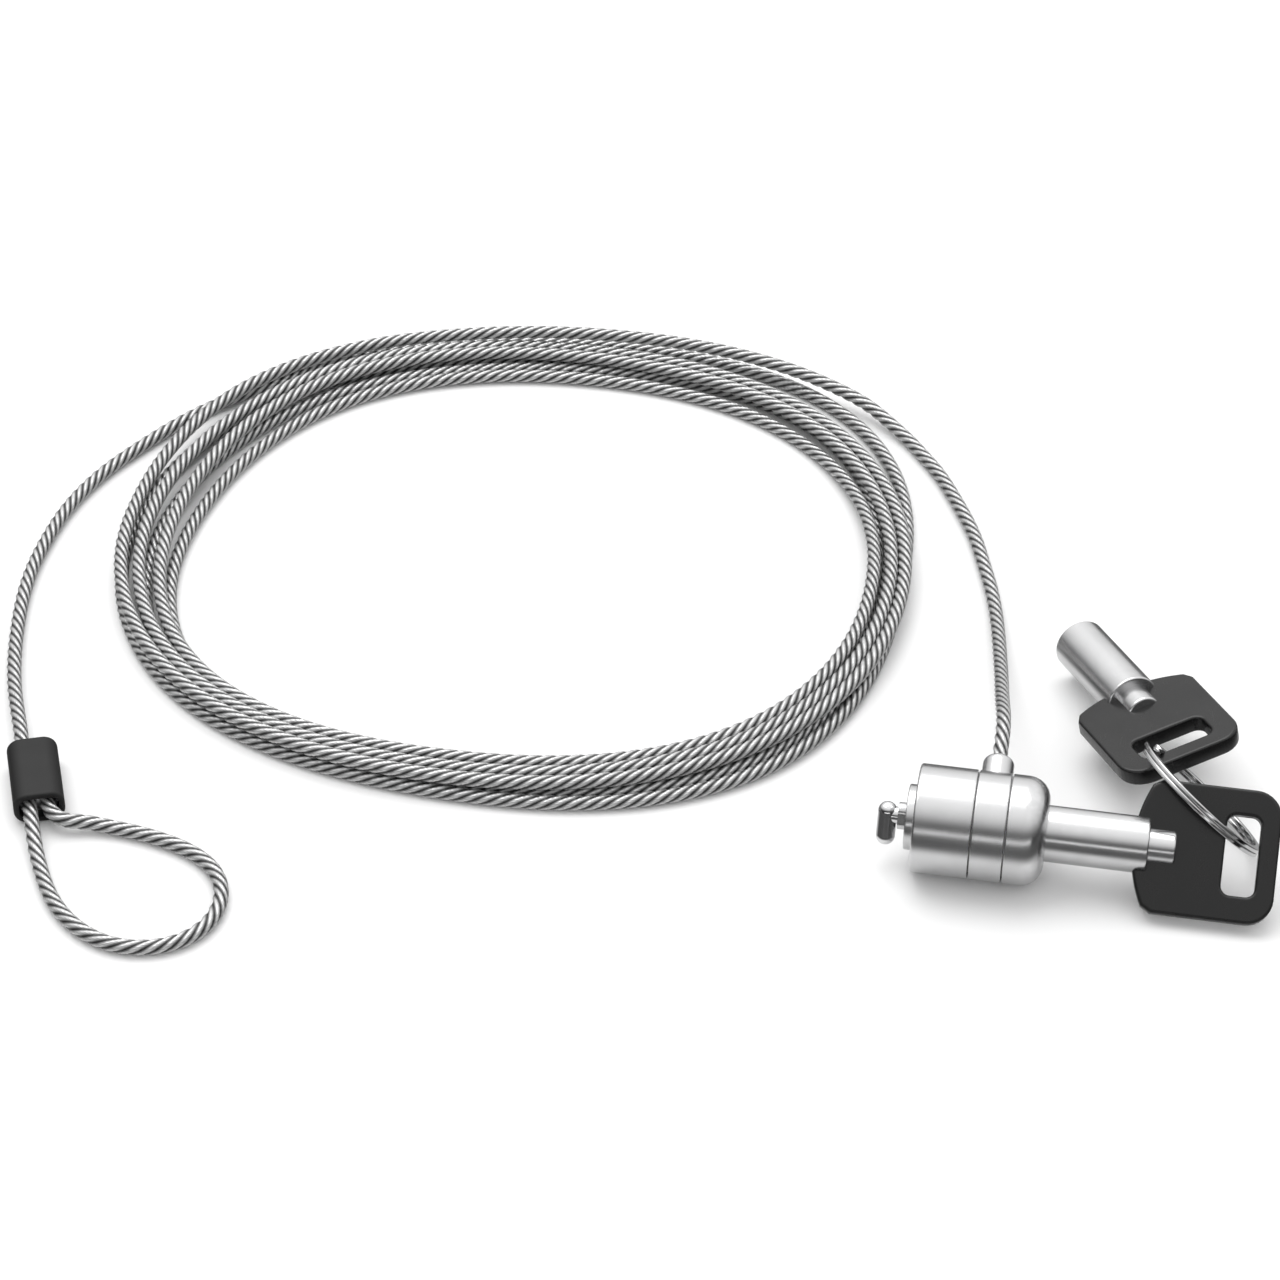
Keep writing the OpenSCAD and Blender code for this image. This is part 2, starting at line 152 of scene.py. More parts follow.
# %% Lay down the points of the route, in millimetres
CABLE_D = 2.4
FLOOR_Z = -8.25
LAY_Z = FLOOR_Z + CABLE_D / 2
LANE_Z = -5.55
UPPER_Z = LAY_Z + CABLE_D
collar_middle = np.array([12.55, 0, 0])
ferrule_rise = math.radians(12)
ferrule_axis = np.array([0, math.cos(ferrule_rise), math.sin(ferrule_rise)])
lead_start = [collar_middle + reach * ferrule_axis for reach in (7.6, 10.5, 12.9, 16.4)]
lead_route = [
    [12.3, 22, 3.3], [11.7, 28.5, 1.4], [10.9, 38, -1.6], [10, 47.5, -4.1],
    [9, 56.5, -5.9], [7.8, 64.5, -6.8], [6.4, 71, LAY_Z], [4.6, 77.5, LAY_Z],
    [2.7, 84, LAY_Z], [0.4, 90, LAY_Z], [-2.3, 96, LAY_Z], [-5.3, 102, LAY_Z],
    [-8.5, 107, LAY_Z], [-12, 111.8, -6.9], [-15.6, 115.5, -6.4], [-19.3, 118.7, -5.7],
    [-25, 121.8, -4.8], [-34, 125, -3.7], [-44, 127, -2.8], [-55.5, 128.1, -2.3],
]
onto_coil = [
    [-67, 128.3, -2.3], [-83, 126.8, -2.5], [-98, 123.9, -3.3], [-109.5, 120.2, -4.1],
    [-119.5, 114.2, UPPER_Z], [-130.2, 101.6, UPPER_Z], [-136, 87.5, UPPER_Z],
]
tail_route = [
    [-124, 110, LAY_Z], [-131, 103, LAY_Z], [-136.5, 96.5, LAY_Z], [-140.5, 90.2, LAY_Z],
    [-144, 83.5, LAY_Z], [-147.2, 76.5, LAY_Z], [-149.6, 69, LAY_Z], [-150.9, 62, LAY_Z],
    [-151.4, 54, LAY_Z], [-151.3, 46, LAY_Z], [-150.4, 38, LAY_Z], [-148.8, 30, LAY_Z],
    [-146.6, 21.5, -6.8], [-144, 13.5, -6.4], [-141.2, 6.5, -5.9], [-138.6, 0.4, -5.6],
    [-137.04, -3.55, LANE_Z],
]
loop_route = [
    [-131.6, -16.9, LANE_Z], [-130.4, -19.8, -5.8], [-128.2, -24.8, -6.7], [-125.6, -29.8, LAY_Z],
    [-122.6, -34.5, LAY_Z], [-118.8, -38.5, LAY_Z], [-114.8, -41.1, LAY_Z], [-110.9, -42.3, LAY_Z],
    [-107, -42.2, LAY_Z], [-103.2, -40.8, LAY_Z], [-100.3, -38.2, LAY_Z], [-98.6, -34.8, LAY_Z],
    [-98.2, -30.8, LAY_Z], [-99.2, -26.6, LAY_Z], [-101.6, -23, LAY_Z], [-105.4, -20.2, LAY_Z],
    [-110, -18.4, LAY_Z], [-115, -17.3, LAY_Z], [-119.6, -16.9, -6.9], [-123.4, -17.2, -6.4],
    [-126.6, -17.6, -5.9], [-128.7, -16.2, LANE_Z], [-130.5, -11.9, LANE_Z], [-133.6, -4.3, LANE_Z],
]
print("points along the table:", len(lead_route) + len(onto_coil) + len(tail_route) + len(loop_route))

# %% [markdown]
# ## The coil's turns
# A hand-wound coil is never a perfect helix. Each turn has its own distance from
# the middle at every eighth of its way round, and it slides over to the next turn
# as it closes. The first turns lie on top, and the third drops to the table on its
# way round the back. So the coil is a short list of turns, eight distances each,
# and a smooth curve through them. The natural cubic spline is the curve that a
# thin springy wire takes when it is held at the points.

# %% Wind the coil
COIL_MIDDLE = np.array([-71.5, 65.5])
UPPER_KNOTS = 21
# Distance of each turn at its left, then every eighth of a turn on through the front and the right
coil_turns = [
    (67.1, 66.9, 63.8, 66.0, 63.9, 63.6, 60.6, 63.3),
    (63.8, 64.8, 61.4, 63.7, 61.6, 61.2, 58.2, 60.8),
    (59.6, 62.7, 58.9, 61.5, 58.7, 58.7, 54.7, 56.2),
    (56.8, 62.2, 60.0, 64.2, 58.8, 63.0, 57.6, 59.2),
    (61.6, 65.0, 62.3, 66.6, 60.9, 65.6, 60.2, 63.2),
    (66.6, 67.4, 64.7, 69.0, 63.2, 70.3, 66.3, 69.3),
]


def spline(knots, values, at):
    """Natural cubic spline: pieces of third degree that share value, slope and bend at each knot.
    The bends are the solution of one linear system, with none at the two ends."""
    step = np.diff(knots)[:, None]
    slope = np.diff(values, axis=0) / step
    count = len(knots)
    system = np.eye(count)
    inner = np.arange(1, count - 1)
    system[inner, inner - 1] = step[:-1, 0]
    system[inner, inner] = 2 * (step[:-1, 0] + step[1:, 0])
    system[inner, inner + 1] = step[1:, 0]
    load = np.zeros_like(values)
    load[1:-1] = 6 * np.diff(slope, axis=0)
    bend = np.linalg.solve(system, load)
    k = np.clip(np.searchsorted(knots, at) - 1, 0, count - 2)
    t = (at - knots[k])[:, None]
    rise = slope[k] - step[k] * (2 * bend[k] + bend[k + 1]) / 6
    return values[k] + t * (rise + t * (bend[k] / 2 + t * (bend[k + 1] - bend[k]) / (6 * step[k])))


def wind(turns, middle, points_a_turn=32):
    """Points round the coil: the distance from the middle and the height follow a spline over the
    angle, through each turn's eight distances."""
    distances = np.ravel(turns)
    heights = np.where(np.arange(len(distances)) < UPPER_KNOTS, UPPER_Z, LAY_Z)
    knots = math.pi + np.arange(len(distances)) * math.pi / 4
    angle = np.linspace(knots[0], knots[-1], points_a_turn * len(turns) - points_a_turn // 8 + 1)
    laid = spline(knots, np.stack([distances, heights], 1), angle)
    x = middle[0] + laid[:, 0] * np.cos(angle)
    y = middle[1] + laid[:, 0] * np.sin(angle)
    return np.stack([x, y, np.clip(laid[:, 1], LAY_Z, UPPER_Z)], 1)


coil_points = wind(coil_turns, COIL_MIDDLE)
print("coil:", len(coil_turns), "turns,", len(coil_points), "points")

# %% [markdown]
# ## One smooth line
# The points of the lead, the coil, the tail and the loop follow each other as one
# list. A curve object would smooth them too, but then the length between two of its
# points varies, and the strands of the rope would be stretched in one place and
# pressed together in the next. So the spline is measured and cut into equal steps.

# %% Draw one smooth line through the whole route
def smooth_line(points, spacing):
    """The spline through the points, over the length run so far, then cut into equal steps."""
    run = np.r_[0, np.cumsum(np.linalg.norm(np.diff(points, axis=0), axis=1))]
    fine = spline(run, points, np.linspace(0, run[-1], 12 * len(points)))
    length = np.r_[0, np.cumsum(np.linalg.norm(np.diff(fine, axis=0), axis=1))]
    steps = np.linspace(0, length[-1], round(length[-1] / spacing) + 1)
    return np.stack([np.interp(steps, length, fine[:, axis]) for axis in range(3)], 1), length[-1]


route = np.vstack([lead_start, lead_route, onto_coil, coil_points, tail_route, loop_route])
rope_line, rope_length = smooth_line(route, spacing=0.75)
print("rope:", round(rope_length / 1000, 3), "m long,", len(rope_line), "rings")

# %% [markdown]
# ## The rope's strands
# The rope is five strands laid round a core, and each strand is a bundle of fine
# wires. Modelling the wires one by one would take millions of faces. Instead the
# skin is a tube whose section is the outline of five round strands, with the
# grooves half filled by the clear skin, and it turns once in every lay length. The
# lines of the mesh follow the strands, so the grooves between them stay sharp. The
# wires, which run along the rope because they are laid the other way round, are
# left to the material.

# %% Twist the strands round the line
STRANDS = 5
POINTS_A_STRAND = 5
LAY_LENGTH = 11.0
GROOVE_FILL = 0.83


def strand_outline(radius, angle):
    """Distance from the rope's middle to its skin. The strands are touching circles: with s the sine
    of half their pitch, each has the radius R s / (1 + s), and its middle lies at d = R / (1 + s). The
    skin is at d cos a + sqrt(r r - (d sin a)^2), a from the nearest crown, and never below the fill."""
    pitch = 2 * math.pi / STRANDS
    a = (angle + pitch / 2) % pitch - pitch / 2
    half = math.sin(pitch / 2)
    d = radius / (1 + half)
    bulge = (d * half) ** 2 - (d * np.sin(a)) ** 2
    return np.maximum(d * np.cos(a) + np.sqrt(np.clip(bulge, 0, None)), GROOVE_FILL * radius)


def rope(name, line, radius):
    """Carries the strands' outline along the line. Left-hand lay: the section turns the left way
    round as it goes on. The sideways arrow is level, and the upward one is square to it."""
    ahead = unit(np.gradient(line, axis=0))
    side = unit(np.cross(ahead, [0, 0, 1]))
    up = np.cross(side, ahead)
    cols = STRANDS * POINTS_A_STRAND
    run = np.arange(len(line)) * np.linalg.norm(line[1] - line[0])
    turn = run / LAY_LENGTH
    angle = 2 * math.pi * (np.arange(cols) + 0.5) / cols
    out = strand_outline(radius, angle)
    around = angle[None] + 2 * math.pi * turn[:, None]
    across = np.cos(around)[..., None] * side[:, None] + np.sin(around)[..., None] * up[:, None]
    points = line[:, None] + out[None, :, None] * across
    ends = [np.repeat(line[k][None, None], cols, 1) for k in (0, -1)]
    points = np.concatenate([ends[0], points, ends[1]])
    turn, run = np.r_[turn[0], turn, turn[-1]], np.r_[run[0], run, run[-1]]
    u = (np.arange(cols + 1)[None] + 0.5) / cols + turn[:, None]
    v = np.broadcast_to(run[:, None] / (2 * math.pi * radius), u.shape)
    low, high = out.min(), out.max()
    crown = np.clip((out - low) / (high - low), 0, 1)
    return grid_piece(name, points, uv=np.stack([u, v], -1), crown=crown[None])


wire_rope = rope("wire_rope", rope_line, CABLE_D / 2)
print("rope skin:", len(wire_rope.data.polygons), "faces")

# %% [markdown]
# ## Small helpers for node materials
# Every finish below is made of nodes. Adding nodes by hand in the editor is how
# one learns them. In a script, two helpers keep the wiring readable: one adds a
# node with its values and links in one statement, and one opens a node group with
# named sockets, for an effect that several finishes share.

# %% Add nodes and groups
def add(tree, kind, links=None, **settings):
    """Adds a node. links gives each input, by name or number, a plain value or another node's output."""
    node = tree.nodes.new(kind)
    for key, value in settings.items():
        setattr(node, key, value)
    for key, value in (links or {}).items():
        if isinstance(value, bpy.types.NodeSocket):
            tree.links.new(value, node.inputs[key])
        else:
            node.inputs[key].default_value = value
    return node


def open_group(name, inputs, outputs):
    """A shader node group with number sockets: its tree, its input node and its output node."""
    tree = bpy.data.node_groups.new(name, "ShaderNodeTree")
    for label, value in inputs.items():
        socket = tree.interface.new_socket(label, in_out="INPUT", socket_type="NodeSocketFloat")
        socket.default_value = value
    for label in outputs:
        tree.interface.new_socket(label, in_out="OUTPUT", socket_type="NodeSocketFloat")
    return tree, tree.nodes.new("NodeGroupInput"), tree.nodes.new("NodeGroupOutput")


def math_node(tree, operation, *values, clamp=False):
    """One Math node, and its output."""
    node = add(tree, "ShaderNodeMath", dict(enumerate(values)), operation=operation, use_clamp=clamp)
    return node.outputs[0]


def map_range(tree, value, low, high, to_low, to_high):
    """Carries a value from one range to another, held at both ends."""
    links = {"Value": value, "From Min": low, "From Max": high, "To Min": to_low, "To Max": to_high}
    return add(tree, "ShaderNodeMapRange", links).outputs["Result"]


# %% [markdown]
# ## Shared effects
# Plated metal is never evenly smooth. Blasting leaves a fine grain, turning leaves
# rings, handling leaves faint smudges and hairline scratches, and plating wears on
# the edges. Each effect but the rings of turning is one group that puts out a
# number, and a finish mixes the numbers it needs.

# %% Grain, smudges, scratches and wear
def grain_group():
    """The mean of two noises, the fine one about a third the size of the coarse one."""
    tree, given, out = open_group("surface grain", {"Scale": 2000}, ["Grain"])
    place = add(tree, "ShaderNodeTexCoord").outputs["Object"]
    scale = given.outputs["Scale"]
    coarse = add(tree, "ShaderNodeTexNoise", {"Vector": place, "Scale": scale, "Detail": 2})
    finer = math_node(tree, "MULTIPLY", scale, 3.1)
    fine = add(tree, "ShaderNodeTexNoise", {"Vector": place, "Scale": finer, "Detail": 1})
    both = math_node(tree, "ADD", coarse.outputs["Fac"], fine.outputs["Fac"])
    tree.links.new(math_node(tree, "MULTIPLY", both, 0.5), out.inputs["Grain"])
    return tree


def smudge_group():
    """Slow, twisted noise, pushed to its ends, so that patches have soft borders."""
    tree, given, out = open_group("handling smudges", {"Scale": 160}, ["Smudge"])
    place = add(tree, "ShaderNodeTexCoord").outputs["Object"]
    links = {"Vector": place, "Scale": given.outputs["Scale"], "Detail": 3, "Distortion": 0.6}
    noise = add(tree, "ShaderNodeTexNoise", links)
    tree.links.new(map_range(tree, noise.outputs["Fac"], 0.35, 0.68, 0, 1), out.inputs["Smudge"])
    return tree


def scratch_group():
    """Thin lines: noise stretched hard along one direction and kept only near its middle value."""
    tree, given, out = open_group("hairline scratches", {"Scale": 900, "Amount": 0.5}, ["Scratch"])
    place = add(tree, "ShaderNodeTexCoord").outputs["Object"]
    scale = given.outputs["Scale"]
    lines = []
    for turn in ((0.3, 0.2, 0.9), (1.1, 0.7, 2.2)):
        laid = add(tree, "ShaderNodeMapping", {"Vector": place, "Rotation": turn, "Scale": (1, 0.04, 1)})
        noise = add(tree, "ShaderNodeTexNoise", {"Vector": laid.outputs[0], "Scale": scale})
        off = math_node(tree, "ABSOLUTE", math_node(tree, "SUBTRACT", noise.outputs["Fac"], 0.5))
        lines.append(map_range(tree, off, 0, 0.012, 1, 0))
    rare = add(tree, "ShaderNodeTexNoise", {"Vector": place, "Scale": 420})
    where = map_range(tree, rare.outputs["Fac"], 0.52, 0.66, 0, 1)
    any_line = math_node(tree, "MAXIMUM", *lines)
    kept = math_node(tree, "MULTIPLY", any_line, where)
    tree.links.new(math_node(tree, "MULTIPLY", kept, given.outputs["Amount"]), out.inputs["Scratch"])
    return tree


def wear_group():
    """The piece's own edge mark, broken up by noise, so that wear comes and goes along an edge."""
    tree, given, out = open_group("edge wear", {"Amount": 0.6}, ["Wear"])
    edge = add(tree, "ShaderNodeAttribute", attribute_name="edge").outputs["Fac"]
    place = add(tree, "ShaderNodeTexCoord").outputs["Object"]
    noise = add(tree, "ShaderNodeTexNoise", {"Vector": place, "Scale": 700, "Detail": 3})
    patchy = map_range(tree, noise.outputs["Fac"], 0.4, 0.62, 0.15, 1)
    worn = math_node(tree, "MULTIPLY", edge, patchy)
    tree.links.new(math_node(tree, "MULTIPLY", worn, given.outputs["Amount"]), out.inputs["Wear"])
    return tree


GROUPS = {
    "grain": grain_group(), "smudge": smudge_group(),
    "scratch": scratch_group(), "wear": wear_group(),
}
print("shared effects:", ", ".join(GROUPS))

# %% [markdown]
# ## Metal finishes
# One function makes all the plain metals. The plated and turned parts differ in
# colour, in how rough they are, and in how much grain, smudge and scratch shows.
# Grain goes to a Bump node, because blasted nickel is a relief and not a print.

# %% Make the metals
def new_material(name):
    """An empty node material, and its tree."""
    material = bpy.data.materials.new(name)
    material.use_nodes = True
    tree = material.node_tree
    tree.nodes.clear()
    return material, tree


def use_group(tree, name, **values):
    """Places a shared group with its own values, and gives its one output."""
    node = add(tree, "ShaderNodeGroup", node_tree=GROUPS[name])
    for label, value in values.items():
        node.inputs[label].default_value = value
    return node.outputs[0]


def mixed_colour(tree, factor, first, second):
    """Mix node between two colours by a factor."""
    links = {"Factor": factor, 6: first, 7: second}
    return add(tree, "ShaderNodeMix", links, data_type="RGBA").outputs[2]


def grey(value):
    """A neutral colour."""
    return (value, value, value, 1.0)


def tinted(colour, gain):
    """The colour made lighter or darker, held below white."""
    return tuple(min(1.0, part * gain) for part in colour[:3]) + (1.0,)


def metal(name, colour, rough, grain=(2600, 0.04), smudge=0.04, scratch=0.25, wear=0.4, relief=7e-7):
    """Metal whose roughness rises with smudges and falls where it is scratched or worn."""
    material, tree = new_material(name)
    grained = use_group(tree, "grain", Scale=grain[0])
    smudged = use_group(tree, "smudge")
    scratched = use_group(tree, "scratch", Amount=scratch)
    worn = use_group(tree, "wear", Amount=wear)
    base = mixed_colour(tree, smudged, tinted(colour, 1.0), tinted(colour, 0.93))
    marks = math_node(tree, "MAXIMUM", worn, scratched)
    base = mixed_colour(tree, marks, base, tinted(colour, 1.25))
    roughness = math_node(tree, "MULTIPLY_ADD", smudged, smudge, rough - smudge / 2)
    roughness = math_node(tree, "MULTIPLY_ADD", grained, grain[1], roughness)
    roughness = math_node(tree, "MULTIPLY_ADD", marks, -0.4 * rough, roughness, clamp=True)
    height = math_node(tree, "MULTIPLY_ADD", scratched, -0.6, grained)
    bump = add(tree, "ShaderNodeBump", {"Height": height, "Strength": 0.6, "Distance": relief})
    links = {"Base Color": base, "Metallic": 1.0, "Roughness": roughness, "Normal": bump.outputs[0]}
    shader = add(tree, "ShaderNodeBsdfPrincipled", links)
    tree.links.new(shader.outputs[0], add(tree, "ShaderNodeOutputMaterial").inputs["Surface"])
    return material


satin_nickel = metal("satin_nickel", (0.72, 0.72, 0.725), 0.22)
bright_plate = metal("bright_plate", (0.78, 0.78, 0.785), 0.10, grain=(2600, 0.03), relief=5e-7)
ring_steel = metal("ring_steel", (0.72, 0.72, 0.725), 0.13, scratch=0.8, relief=5e-7)
turned_brass = metal("turned_brass", (0.78, 0.58, 0.28), 0.22, relief=1e-6)
spring_steel = metal("spring_steel", (0.46, 0.46, 0.48), 0.20)
pressed_aluminium = metal("pressed_aluminium", (0.68, 0.69, 0.70), 0.30, grain=(1500, 0.15))
print("metals:", satin_nickel.name, bright_plate.name, ring_steel.name, turned_brass.name)

# %% [markdown]
# ## Plastic finishes
# The bows of the keys are moulded in glossy black plastic, and the crimp sleeve is
# a matt dark one. Plastic isn't metallic: its base is dark, and what one sees is
# mostly the gloss on top. The mould's faint texture goes to the bump, and fine
# scuffs make it rougher and a little greyer.

# %% Make the plastics
def plastic(name, colour, rough, grain_scale, relief, scuff=0.3, wear=0.5, ior=1.5):
    """Moulded plastic: the grain is relief, and scuffs and worn edges are greyer and rougher."""
    material, tree = new_material(name)
    grained = use_group(tree, "grain", Scale=grain_scale)
    smudged = use_group(tree, "smudge", Scale=110)
    scratched = use_group(tree, "scratch", Amount=scuff)
    worn = use_group(tree, "wear", Amount=wear)
    marks = math_node(tree, "MAXIMUM", worn, scratched)
    base = mixed_colour(tree, smudged, colour, tinted(colour, 1.3))
    base = mixed_colour(tree, marks, base, tinted(colour, 2.6))
    roughness = math_node(tree, "MULTIPLY_ADD", smudged, 0.08, rough)
    roughness = math_node(tree, "MULTIPLY_ADD", marks, 0.15, roughness, clamp=True)
    bump = add(tree, "ShaderNodeBump", {"Height": grained, "Strength": 0.7, "Distance": relief})
    links = {"Base Color": base, "Roughness": roughness, "Normal": bump.outputs[0], "IOR": ior}
    shader = add(tree, "ShaderNodeBsdfPrincipled", links)
    tree.links.new(shader.outputs[0], add(tree, "ShaderNodeOutputMaterial").inputs["Surface"])
    return material


black_plastic = plastic("black_plastic", grey(0.004), 0.22, 1800, 3e-6)
dark_sleeve = plastic("dark_sleeve", grey(0.007), 0.55, 2600, 6e-6, scuff=0.1, ior=1.42)
nylon = plastic("nylon", (0.82, 0.82, 0.78, 1), 0.4, 2000, 2e-6, scuff=0, wear=0)
print("plastics:", black_plastic.name, dark_sleeve.name, nylon.name)

# %% [markdown]
# ## The rope's finish
# Galvanised wire is light grey. The grooves between the strands are painted near
# black, as painted shade. Each strand shows a few fine wires. They run along the
# rope, so they are stripes round it, read from the rope's own UV map. The stripes are
# painted glints on the wires and painted shade between them, and a bump as well.
# A thin clear plastic skin covers the whole rope and gives it its gloss: that is the
# shader's coat.

# %% Make the rope's material
def rope_finish():
    """Light wires, grooves painted dark by the crown mark as painted shade, stripes that are painted
    glints and shade of the wires, and a clear coat on top.
    """
    material, tree = new_material("wire_rope")
    surface = add(tree, "ShaderNodeUVMap", uv_map="surface").outputs[0]
    crown = add(tree, "ShaderNodeAttribute", attribute_name="crown").outputs["Fac"]
    parts = add(tree, "ShaderNodeSeparateXYZ", {0: surface})
    wires = 25
    wave = math_node(tree, "SINE", math_node(tree, "MULTIPLY", parts.outputs["X"], wires * 2 * math.pi))
    stripe = map_range(tree, wave, -1, 1, 0, 1)
    uneven = add(tree, "ShaderNodeTexNoise", {"Vector": surface, "Scale": 9, "Detail": 3}).outputs["Fac"]
    # Painted shade: through this factor the grooves between the strands are painted near black, and it
    # also sets their roughness.
    depth = map_range(tree, crown, 0.05, 0.75, 0, 1)
    # Painted glints and shade: the wire stripes make the colour lighter on each wire and darker between
    # wires; the noise adds random tone.
    light = math_node(tree, "MULTIPLY_ADD", stripe, 0.18, math_node(tree, "MULTIPLY", uneven, 0.5))
    strand = mixed_colour(tree, light, grey(0.42), grey(1.0))
    base = mixed_colour(tree, depth, grey(0.012), strand)
    roughness = map_range(tree, depth, 0, 1, 0.7, 0.32)
    height = math_node(tree, "MULTIPLY_ADD", stripe, 0.5, uneven)
    bump = add(tree, "ShaderNodeBump", {"Height": height, "Strength": 0.8, "Distance": 4e-5})
    links = {
        "Base Color": base, "Metallic": 0.6, "Roughness": roughness,
        "Normal": bump.outputs[0], "Coat Weight": 0.5, "Coat Roughness": 0.12,
    }
    shader = add(tree, "ShaderNodeBsdfPrincipled", links)
    tree.links.new(shader.outputs[0], add(tree, "ShaderNodeOutputMaterial").inputs["Surface"])
    return material


wire_rope.data.materials.append(rope_finish())
print("rope finish:", wire_rope.data.materials[0].name)

# %% [markdown]
# ## Finishes on the CAD parts
# The parts whose shape is already right keep their mesh and take a finish. Most
# of them are works inside the lock, which show when it is taken apart.

# %% Give each CAD part its finish
finishes = {
    "satin_nickel": satin_nickel, "chrome": bright_plate, "brass": turned_brass,
    "spring_steel": spring_steel, "nylon": nylon, "crimp_aluminium": pressed_aluminium,
    "ring_steel": ring_steel, "black_plastic": black_plastic, "dark_sleeve": dark_sleeve,
}
for subpart in frame["record"]["subparts"]:
    node = frame["nodes"][subpart["node"]]
    finish = finishes.get(subpart["material_slot"])
    if finish is not None:
        node.data.materials.clear()
        node.data.materials.append(finish)
print("finishes laid on", len(frame["nodes"]), "nodes")

# %% [markdown]
# ## Turned parts
# Nearly all of the lock head comes off a lathe: the housings, the collar, the
# seating disc, the ferrule, the spindle and the tubes of the keys. So they are
# made as on a lathe. A part's outline is a few corners, each pair the place along
# the axis and the radius, and the outline is turned about X. A Screw modifier
# would do the same. Real turned corners are never sharp, so each corner is first
# replaced by a small curve, and the mesh remembers where the curves are, because
# that is where plating wears.

# %% Helpers for turned parts
def soften(corners, radius, closed=True, steps=6):
    """Rounds the corners of an outline. With P' and Q' on the two edges, one radius from the corner C,
    the corner becomes ((1-s)^2 P' + 2 w s (1-s) C + s^2 Q') / ((1-s)^2 + 2 w s (1-s) + s^2). The weight
    w is the cosine of 45 degrees, which makes a square corner exactly round. Beside each curve stands
    one more point on the straight edge, so that the shading of the flat keeps away from the curve.
    Gives the points, and a mark that is 1 in the middle of each curve."""
    c = np.array(corners, float)
    reach = np.broadcast_to(radius, len(c))[:, None]
    before, after = unit(np.roll(c, 1, 0) - c), unit(np.roll(c, -1, 0) - c)
    s = np.linspace(0, 1, steps + 1)[:, None, None]
    share = np.stack([(1 - s) ** 2, 2 * math.cos(math.pi / 4) * s * (1 - s), s ** 2])
    share = share / share.sum(0)
    curve = share[0] * (c + reach * before) + share[1] * c + share[2] * (c + reach * after)
    rest = np.minimum(0.15 * reach, 0.05)
    curve = np.concatenate([[curve[0] + rest * before], curve, [curve[-1] + rest * after]]).swapaxes(0, 1)
    mark = np.broadcast_to(np.r_[0, 4 * s[:, 0, 0] * (1 - s[:, 0, 0]), 0], curve.shape[:2])
    if closed:
        points, marks = curve.reshape(-1, 2), mark.ravel()
        return np.vstack([points, points[:1]]), np.r_[marks, marks[:1]]
    points = np.vstack([c[:1], curve[1:-1].reshape(-1, 2), c[-1:]])
    return points, np.r_[0, mark[1:-1].ravel(), 0]


def turning(x=0.0, y=0.0, z=0.0):
    """The matrix that turns about X, then Y, then Z, in degrees."""
    a, b, c = np.radians([x, y, z])
    about_x = np.array([[1, 0, 0], [0, math.cos(a), -math.sin(a)], [0, math.sin(a), math.cos(a)]])
    about_y = np.array([[math.cos(b), 0, math.sin(b)], [0, 1, 0], [-math.sin(b), 0, math.cos(b)]])
    about_z = np.array([[math.cos(c), -math.sin(c), 0], [math.sin(c), math.cos(c), 0], [0, 0, 1]])
    return about_z @ about_y @ about_x


NOT_TURNED = (np.eye(3), np.zeros(3))


def turned(name, corners, radius, place=NOT_TURNED, closed=True, steps=96):
    """Turns a softened outline about X: a point at x and radius r goes round as x, r cos a, r sin a."""
    outline, mark = soften(corners, radius, closed)
    a = 2 * math.pi * np.arange(steps) / steps
    x = np.broadcast_to(outline[:, :1], (len(outline), steps))
    points = np.stack([x, outline[:, 1:] * np.cos(a), outline[:, 1:] * np.sin(a)], -1)
    return grid_piece(name, points @ place[0].T + place[1], edge=mark[:, None])


def stands_for(piece, body, slot, material, *nodes):
    """A new piece rides on a body, takes the material that it is given, and hides the CAD parts it stands
    for. The slot is not used.
    """
    piece.data.materials.append(material)
    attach(piece, body)
    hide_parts(*nodes)
    return piece


print("points round a softened square:", len(soften([(0, 0), (1, 0), (1, 1), (0, 1)], 0.1)[0]))

# %% [markdown]
# ## The lock head
# The round body is three pieces in a row: the nose housing, the collar that swivels
# and the rear housing with its big round shoulder. Fine seams part them. A seating
# disc stands proud of the nose, and a domed ferrule on the collar holds the rope.
# Each outline is the real wall, inside and outside, so that the pieces are shells
# that come apart. A solid cylinder would look the same until the lock is opened.

